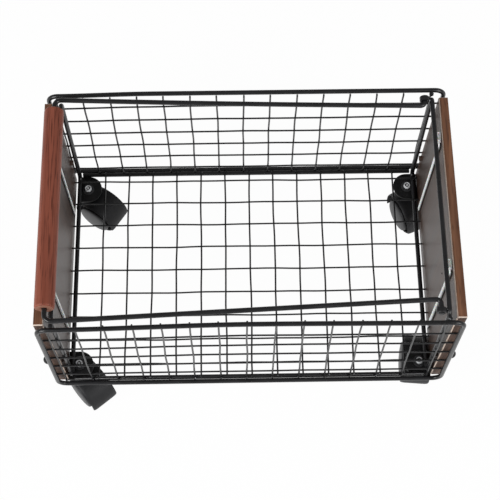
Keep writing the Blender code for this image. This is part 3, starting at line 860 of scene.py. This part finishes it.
# %% Grip
ALONG_Y = Matrix.Rotation(-math.pi / 2, 4, "X")
PLAY = 0.0003
END_ROUND = 0.002
grip_r = grip_half.x
bore_r = HANDLE_D / 2 + PLAY
arc = [math.radians(18 * i) for i in range(6)]
outline = [(bore_r, grip_half.y)]
outline += [
    (grip_r - END_ROUND * (1 - math.sin(a)), grip_half.y - END_ROUND * (1 - math.cos(a))) for a in arc
]
outline += [(r, -h) for r, h in outline[::-1]]
bm = bmesh.new()
faces = turned(bm, outline, Matrix.Translation(grip_mid) @ ALONG_Y, closed=True, sides=48)
for face in faces:
    along = abs(face.calc_center_median().y - grip_mid.y)
    face.material_index = 1 if along > grip_half.y - 0.0001 else 0
soften(bm, faces, 0.0003, angle=60.0)
make_piece("grip_dowel", bm, [grip_stain, end_grain], "grip", "grip_wood", "handle_grip", crease=40.0)

# %% [markdown]
# The handle's pins turn in two short sleeves, welded to the posts of the right ring. A row of lumps
# makes the weld bead between sleeve and ring. A bead along a curve would be too even.

# %% Pivot sleeves
for face in ("front", "rear"):
    node = "pivot_sleeve_" + face
    mid, half = node_box(node)
    outline = [(bore_r, half.y), (half.x, half.y), (half.x, -half.y), (bore_r, -half.y)]
    bm = bmesh.new()
    soften(bm, turned(bm, outline, Matrix.Translation(mid) @ ALONG_Y, closed=True), 0.0005)
    for i in range(4):
        bead = mid + Vector((half.x + 0.0002, (i - 1.5) * 0.0011, 0.0006 * (-1) ** i))
        nugget(bm, bead, (0.0010, 0.0011, 0.0014))
    make_piece("pivot_tube_" + face, bm, [black_coat, weld_coat], "basket", "coated_wire", node)

# %% [markdown]
# A castor hangs under each corner: a steel plate with two rounded corners, a washer, and a zinc rivet
# whose rolled head shows from above. The plate could be cut from a block, but it starts as one square
# face: two of its corners are rounded, then it is raised to its thickness.

# %% Zinc
zinc = Finish("bright_zinc")
spangle = zinc.noise(700.0, detail=3.0, swirl=0.6)
cloud = zinc.noise(210.0, detail=2.0)
bright_zinc = zinc.surface(
    base_color=zinc.mix(spangle.rise(0.3, 0.7), tone(0.74, 0.76, 0.78), tone(0.93, 0.95, 0.97)),
    roughness=0.32 + cloud * 0.16,
    metallic=0.30,
    normal=zinc.bump(spangle, 0.00004),
)
print(bright_zinc.name, len(zinc.tree.nodes), "nodes")

# %% Castor plates
CASTORS = ("rear_left", "rear_right", "front_left", "front_right")
PLATE_CORNER = 0.0135
for castor in CASTORS:
    node = "castor_plate_" + castor
    mid, half = node_box(node)
    bm = bmesh.new()
    under = Matrix.Translation((mid.x, mid.y, mid.z - half.z)) @ Matrix.Diagonal((half.x, half.y, 1, 1))
    verts = bmesh.ops.create_grid(bm, x_segments=1, y_segments=1, size=1, matrix=under)["verts"]
    inner = sorted(verts, key=lambda v: abs(v.co.x))[:2]
    bmesh.ops.bevel(
        bm, geom=inner, offset=PLATE_CORNER, segments=12, profile=0.5, affect="VERTICES", material=-1
    )
    raised = bmesh.ops.extrude_face_region(bm, geom=list(bm.faces), use_keep_orig=True)["geom"]
    bmesh.ops.translate(bm, verts=only(raised, bmesh.types.BMVert), vec=(0, 0, 2 * half.z))
    soften(bm, bm.faces, 0.0004)
    make_piece("corner_plate_" + castor, bm, [black_paint], "basket", "black_steel", node)

# %% [markdown]
# The washer is worn grey by the turning hood. The rivet's head has a hollow inside a bright rolled
# rim. Both are turned, and the faces deep in the hollow take the black paint as painted shade.

# %% Worn steel of the washers
worn = Finish("worn_washer")
turn_mark = worn.noise(900.0, detail=3.0)
worn_washer = worn.surface(
    base_color=worn.mix(turn_mark.rise(0.35, 0.65), tone(0.022, 0.022, 0.024), tone(0.075, 0.075, 0.080)),
    roughness=0.38 + turn_mark * 0.2,
    metallic=0.5,
    normal=worn.bump(turn_mark, 0.00006),
)
print(worn_washer.name, len(worn.tree.nodes), "nodes")

# %% Washers and rivets
WASHER_BORE = 0.0032
RIVET_R = 0.0030
RIVET_HEAD_R = 0.0035
HOLLOW_R = 0.0021
for castor in CASTORS:
    node = "castor_washer_" + castor
    mid, half = node_box(node)
    outline = [(WASHER_BORE, half.z), (half.x, half.z * 0.7), (half.x, -half.z), (WASHER_BORE, -half.z)]
    bm = bmesh.new()
    soften(bm, turned(bm, outline, Matrix.Translation(mid), closed=True), 0.0002)
    make_piece("castor_shim_" + castor, bm, [worn_washer], "basket", "black_steel", node)
    node = "castor_stem_" + castor
    mid, half = node_box(node)
    low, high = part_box(node)
    head = [(0.0, -0.0005), (0.0012, -0.0005), (0.0014, -0.0018), (0.0018, -0.0018), (0.0020, -0.0003)]
    head += [(0.0026, 0.0), (0.0032, -0.0003), (RIVET_HEAD_R, -0.0010), (RIVET_HEAD_R, -0.0026)]
    outline = [*head, (RIVET_R, -0.0027), (RIVET_R, low.z - high.z), (0.0, low.z - high.z)]
    bm = bmesh.new()
    faces = turned(bm, outline, Matrix.Translation((mid.x, mid.y, high.z)))
    # Faces deep in the hollow take the black paint as painted shade.
    for face in faces:
        spot = face.calc_center_median()
        deep = spot.z < high.z - 0.0007 and spot.z > high.z - 0.002
        if deep and (spot - Vector((mid.x, mid.y, spot.z))).length < HOLLOW_R:
            face.material_index = 1
    make_piece("castor_rivet_" + castor, bm, [bright_zinc, black_paint], "basket", "zinc", node)

# %% [markdown]
# The hood is moulded in matt black plastic with a fine spark-eroded grain. It is a mudguard over both
# wheels with a web between them, and a neck that turns on the rivet. It could be cut from a drum, but
# its section, a T, is the same all the way round, so it is spun part of a turn about the axle.

# %% Grained plastic
mould = Finish("grained_plastic")
grain = mould.noise(2100.0, detail=2.0)
shade = mould.noise(70.0, detail=3.0)
grained_plastic = mould.surface(
    base_color=mould.mix(shade.rise(0.3, 0.7), tone(0.0065, 0.0065, 0.0075), tone(0.0135, 0.0135, 0.0152)),
    roughness=0.46 + grain * 0.20,
    normal=mould.bump(grain, 0.00010),
    specular_ior_level=0.36,
)
print(grained_plastic.name, len(mould.tree.nodes), "nodes")


# %% Hoods
def castor_frame(castor):
    """A matrix at the axle with X trailing and Y along the axle, and the trail."""
    stem = joint_at["swivel_" + castor]
    axle = joint_at["spin_" + castor + "_a"]
    trail = axle - stem
    turn = Matrix.Rotation(math.atan2(trail.y, trail.x), 4, "Z")
    return Matrix.Translation(axle) @ turn, trail.length


HOOD_R = 0.0242
HOOD_HALF = 0.0141
WELL_R = 0.0226
WEB_HALF = 0.0031
HOOD_SWEEP = 204
EYE_R = 0.006
EYE_BORE = 0.0022
NECK_R = 0.0075
NECK_FOOT = 0.0117
NECK_OVER = 0.0230  # the neck's foot follows a drum of this radius, between well and hood
section = [(HOOD_R, 0.0), (HOOD_R, 0.0098), (HOOD_R - 0.0002, 0.0122), (HOOD_R - 0.0006, 0.0135)]
section += [(HOOD_R - 0.0012, HOOD_HALF), (WELL_R, HOOD_HALF), (WELL_R, WEB_HALF), (0.005, WEB_HALF)]
section += [(r, -y) for r, y in section[:0:-1]]
for castor in CASTORS:
    node = "castor_hood_" + castor
    place, trail = castor_frame(castor)
    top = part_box(node)[1].z - place.translation.z
    bm = bmesh.new()
    rim = [bm.verts.new((r, y, 0)) for r, y in section]
    start = [bm.edges.new(pair) for pair in zip(rim, rim[1:] + rim[:1])]
    spun = bmesh.ops.spin(
        bm,
        geom=start,
        cent=(0, 0, 0),
        axis=(0, -1, 0),
        angle=math.radians(HOOD_SWEEP),
        steps=30,
        use_merge=False,
        use_normal_flip=False,
        use_duplicate=False,
    )
    for end in (start, only(spun["geom_last"], bmesh.types.BMEdge)):
        bmesh.ops.contextual_create(bm, geom=end)
    bmesh.ops.recalc_face_normals(bm, faces=bm.faces)
    soften(bm, bm.faces, 0.0004, angle=50.0)
    eye = [(EYE_BORE, WEB_HALF), (EYE_R, WEB_HALF), (EYE_R, -WEB_HALF), (EYE_BORE, -WEB_HALF)]
    soften(bm, turned(bm, eye, ALONG_Y, closed=True), 0.0003)
    neck = [(0.0, top), (0.0066, top), (NECK_R, top - 0.0009), (NECK_R, NECK_FOOT), (0.0, NECK_FOOT)]
    column = turned(bm, neck, Matrix.Translation((-trail, 0, 0)))
    for vert in each_once(v for f in column for v in f.verts):
        inside = NECK_OVER**2 - vert.co.x**2
        if inside > 0:
            vert.co.z = max(vert.co.z, math.sqrt(inside))
    bmesh.ops.transform(bm, matrix=place, verts=bm.verts)
    make_piece("castor_mudguard_" + castor, bm, [grained_plastic], "castor_" + castor, "hood_plastic", node)
    frame["nodes"]["castor_axle_" + castor].material_slots[0].material = bright_zinc

# %% [markdown]
# The wheels are smooth black plastic, a little greyer than the hoods. A deep groove parts the tread,
# which runs under the hood and is dulled by dust, from the domed outer disc. Tread and groove are
# painted near-black as the shade under the hood, so the disc stands out beside them. One outline holds
# all of this, and both wheels of a castor are spun from it.

# %% Wheel plastics
disc = Finish("wheel_disc")
flow = disc.noise(85.0, detail=3.0, swirl=0.5)
skin = disc.noise(1600.0, detail=2.0)
wheel_disc = disc.surface(
    base_color=disc.mix(flow.rise(0.3, 0.7), tone(0.010, 0.010, 0.0115), tone(0.019, 0.019, 0.0215)),
    roughness=0.36 + skin * 0.14,
    normal=disc.bump(skin, 0.00004),
    specular_ior_level=0.4,
)
# The tread and groove are painted near-black as the shade under the hood; the dirt mask adds dust.
tread = Finish("tread_dust_and_shade")
dirt = tread.noise(420.0, detail=4.0).rise(0.45, 0.75)
tread_dust_and_shade = tread.surface(
    base_color=tread.mix(dirt * 0.5, tone(0.003, 0.003, 0.0033), tone(0.012, 0.012, 0.0115)),
    roughness=0.55 + dirt * 0.25,
    normal=tread.bump(dirt, 0.00006),
    specular_ior_level=0.2,
)
print(wheel_disc.name, tread_dust_and_shade.name)

# %% Wheels
AGAINST_Y = Matrix.Rotation(math.pi / 2, 4, "X")
WHEEL_R = 0.0218
WHEEL_IN = WEB_HALF + PLAY
DISC_LOW = 0.0100
wheel = [(0.0, 0.0128), (0.005, 0.01275), (0.009, 0.01258), (0.0125, 0.01228), (0.0148, 0.0119)]
wheel += [(0.0162, 0.0114), (0.0169, 0.0108), (0.0171, DISC_LOW), (0.0166, 0.0046), (0.0196, 0.0046)]
wheel += [(0.0200, 0.0072), (0.0206, 0.0078), (0.0212, 0.0077), (WHEEL_R, 0.0070), (WHEEL_R, 0.0012)]
wheel += [(WHEEL_R - 0.0010, 0.0), (0.0150, 0.0), (0.0144, 0.0018), (0.0048, 0.0018), (0.0042, 0.0)]
wheel += [(0.0024, 0.0), (0.0024, 0.0092), (0.0, 0.0092)]
for castor in CASTORS:
    place, _ = castor_frame(castor)
    for letter, turn, step in (("a", ALONG_Y, WHEEL_IN), ("b", AGAINST_Y, -WHEEL_IN)):
        bm = bmesh.new()
        faces = turned(bm, wheel, Matrix.Translation((0, step, 0)) @ turn, sides=48)
        for face in faces:
            away = face.calc_center_median()
            # Tread and groove faces take the finish with the painted shade.
            if abs(away.y) < WHEEL_IN + DISC_LOW:
                face.material_index = 1
        soften(bm, faces, 0.0002, angle=35.0)
        bmesh.ops.transform(bm, matrix=place, verts=bm.verts)
        name = "wheel_" + castor + "_" + letter
        make_piece(name, bm, [wheel_disc, tread_dust_and_shade], name, "wheel_plastic", "castor_" + name)

# %% [markdown]
# White soft light from all round, as in a studio. More light would burn out the pale pieces, so the
# white comes from the floor and the world as the camera sees them, and the lamps stay low. The floor
# keeps a trace of the trolley's shadow.

# %% Floor
WHITE_SHARE = 0.975  # the rest shows the shadow
floor_finish = Finish("studio_floor")
speckle = floor_finish.noise(40.0, detail=2.0)
pale = floor_finish.mix(speckle, tone(0.86, 0.86, 0.86), tone(0.9, 0.9, 0.9))
diffuse = floor_finish.node("ShaderNodeBsdfDiffuse", {}, {"Color": pale})
glow = floor_finish.node("ShaderNodeEmission", {}, {"Color": tone(1, 1, 1), "Strength": 1.0})
kinds = ("Is Camera Ray", "Is Glossy Ray", "Is Transmission Ray")
rays = [floor_finish.node("ShaderNodeLightPath", out=kind) for kind in kinds]
seen = rays[0] + rays[1] + rays[2]
white_share = seen.rise(0.0, 1.0) * WHITE_SHARE
blend = floor_finish.node("ShaderNodeMixShader", {}, {0: white_share, 1: diffuse, 2: glow})
floor_finish.plug(floor_finish.tree.nodes["Material Output"].inputs["Surface"], blend)
bm = bmesh.new()
bmesh.ops.create_grid(bm, x_segments=2, y_segments=2, size=3.0)
floor_mesh = bpy.data.meshes.new("studio_floor")
bm.to_mesh(floor_mesh)
bm.free()
floor_mesh.materials.append(floor_finish.material)
floor = bpy.data.objects.new("studio_floor", floor_mesh)
bpy.context.scene.collection.objects.link(floor)
print(floor.name, len(floor_finish.tree.nodes), "nodes")

# %% Light from all round
AMBIENT = 0.3
studio = Finish("studio", bpy.data.worlds.new("studio"))
sky = studio.tree.nodes["Background"]
by_camera = studio.node("ShaderNodeLightPath", out="Is Camera Ray")
studio.plug(sky.inputs["Color"], tone(1, 1, 1))
studio.plug(sky.inputs["Strength"], AMBIENT + by_camera * (1.0 - AMBIENT))
bpy.context.scene.world = studio.material
bpy.context.scene.view_settings.view_transform = "Standard"
print("ambient light", AMBIENT)


# %% Softboxes
def softbox(name, place, aim, size, watts):
    light = bpy.data.lights.new(name, "AREA")
    light.shape = "RECTANGLE"
    light.size = size[0]
    light.size_y = size[1]
    light.energy = watts
    made = bpy.data.objects.new(name, light)
    made.location = place
    made.rotation_euler = (Vector(aim) - Vector(place)).to_track_quat("-Z", "Y").to_euler()
    bpy.context.scene.collection.objects.link(made)
    print(name, watts, "W")


softbox("softbox_left", (-1.5, -1.2, 1.3), (0, 0, 0.1), (1.2, 1.0), 36.0)
softbox("softbox_right", (1.5, -1.2, 1.3), (0, 0, 0.1), (1.2, 1.0), 24.0)
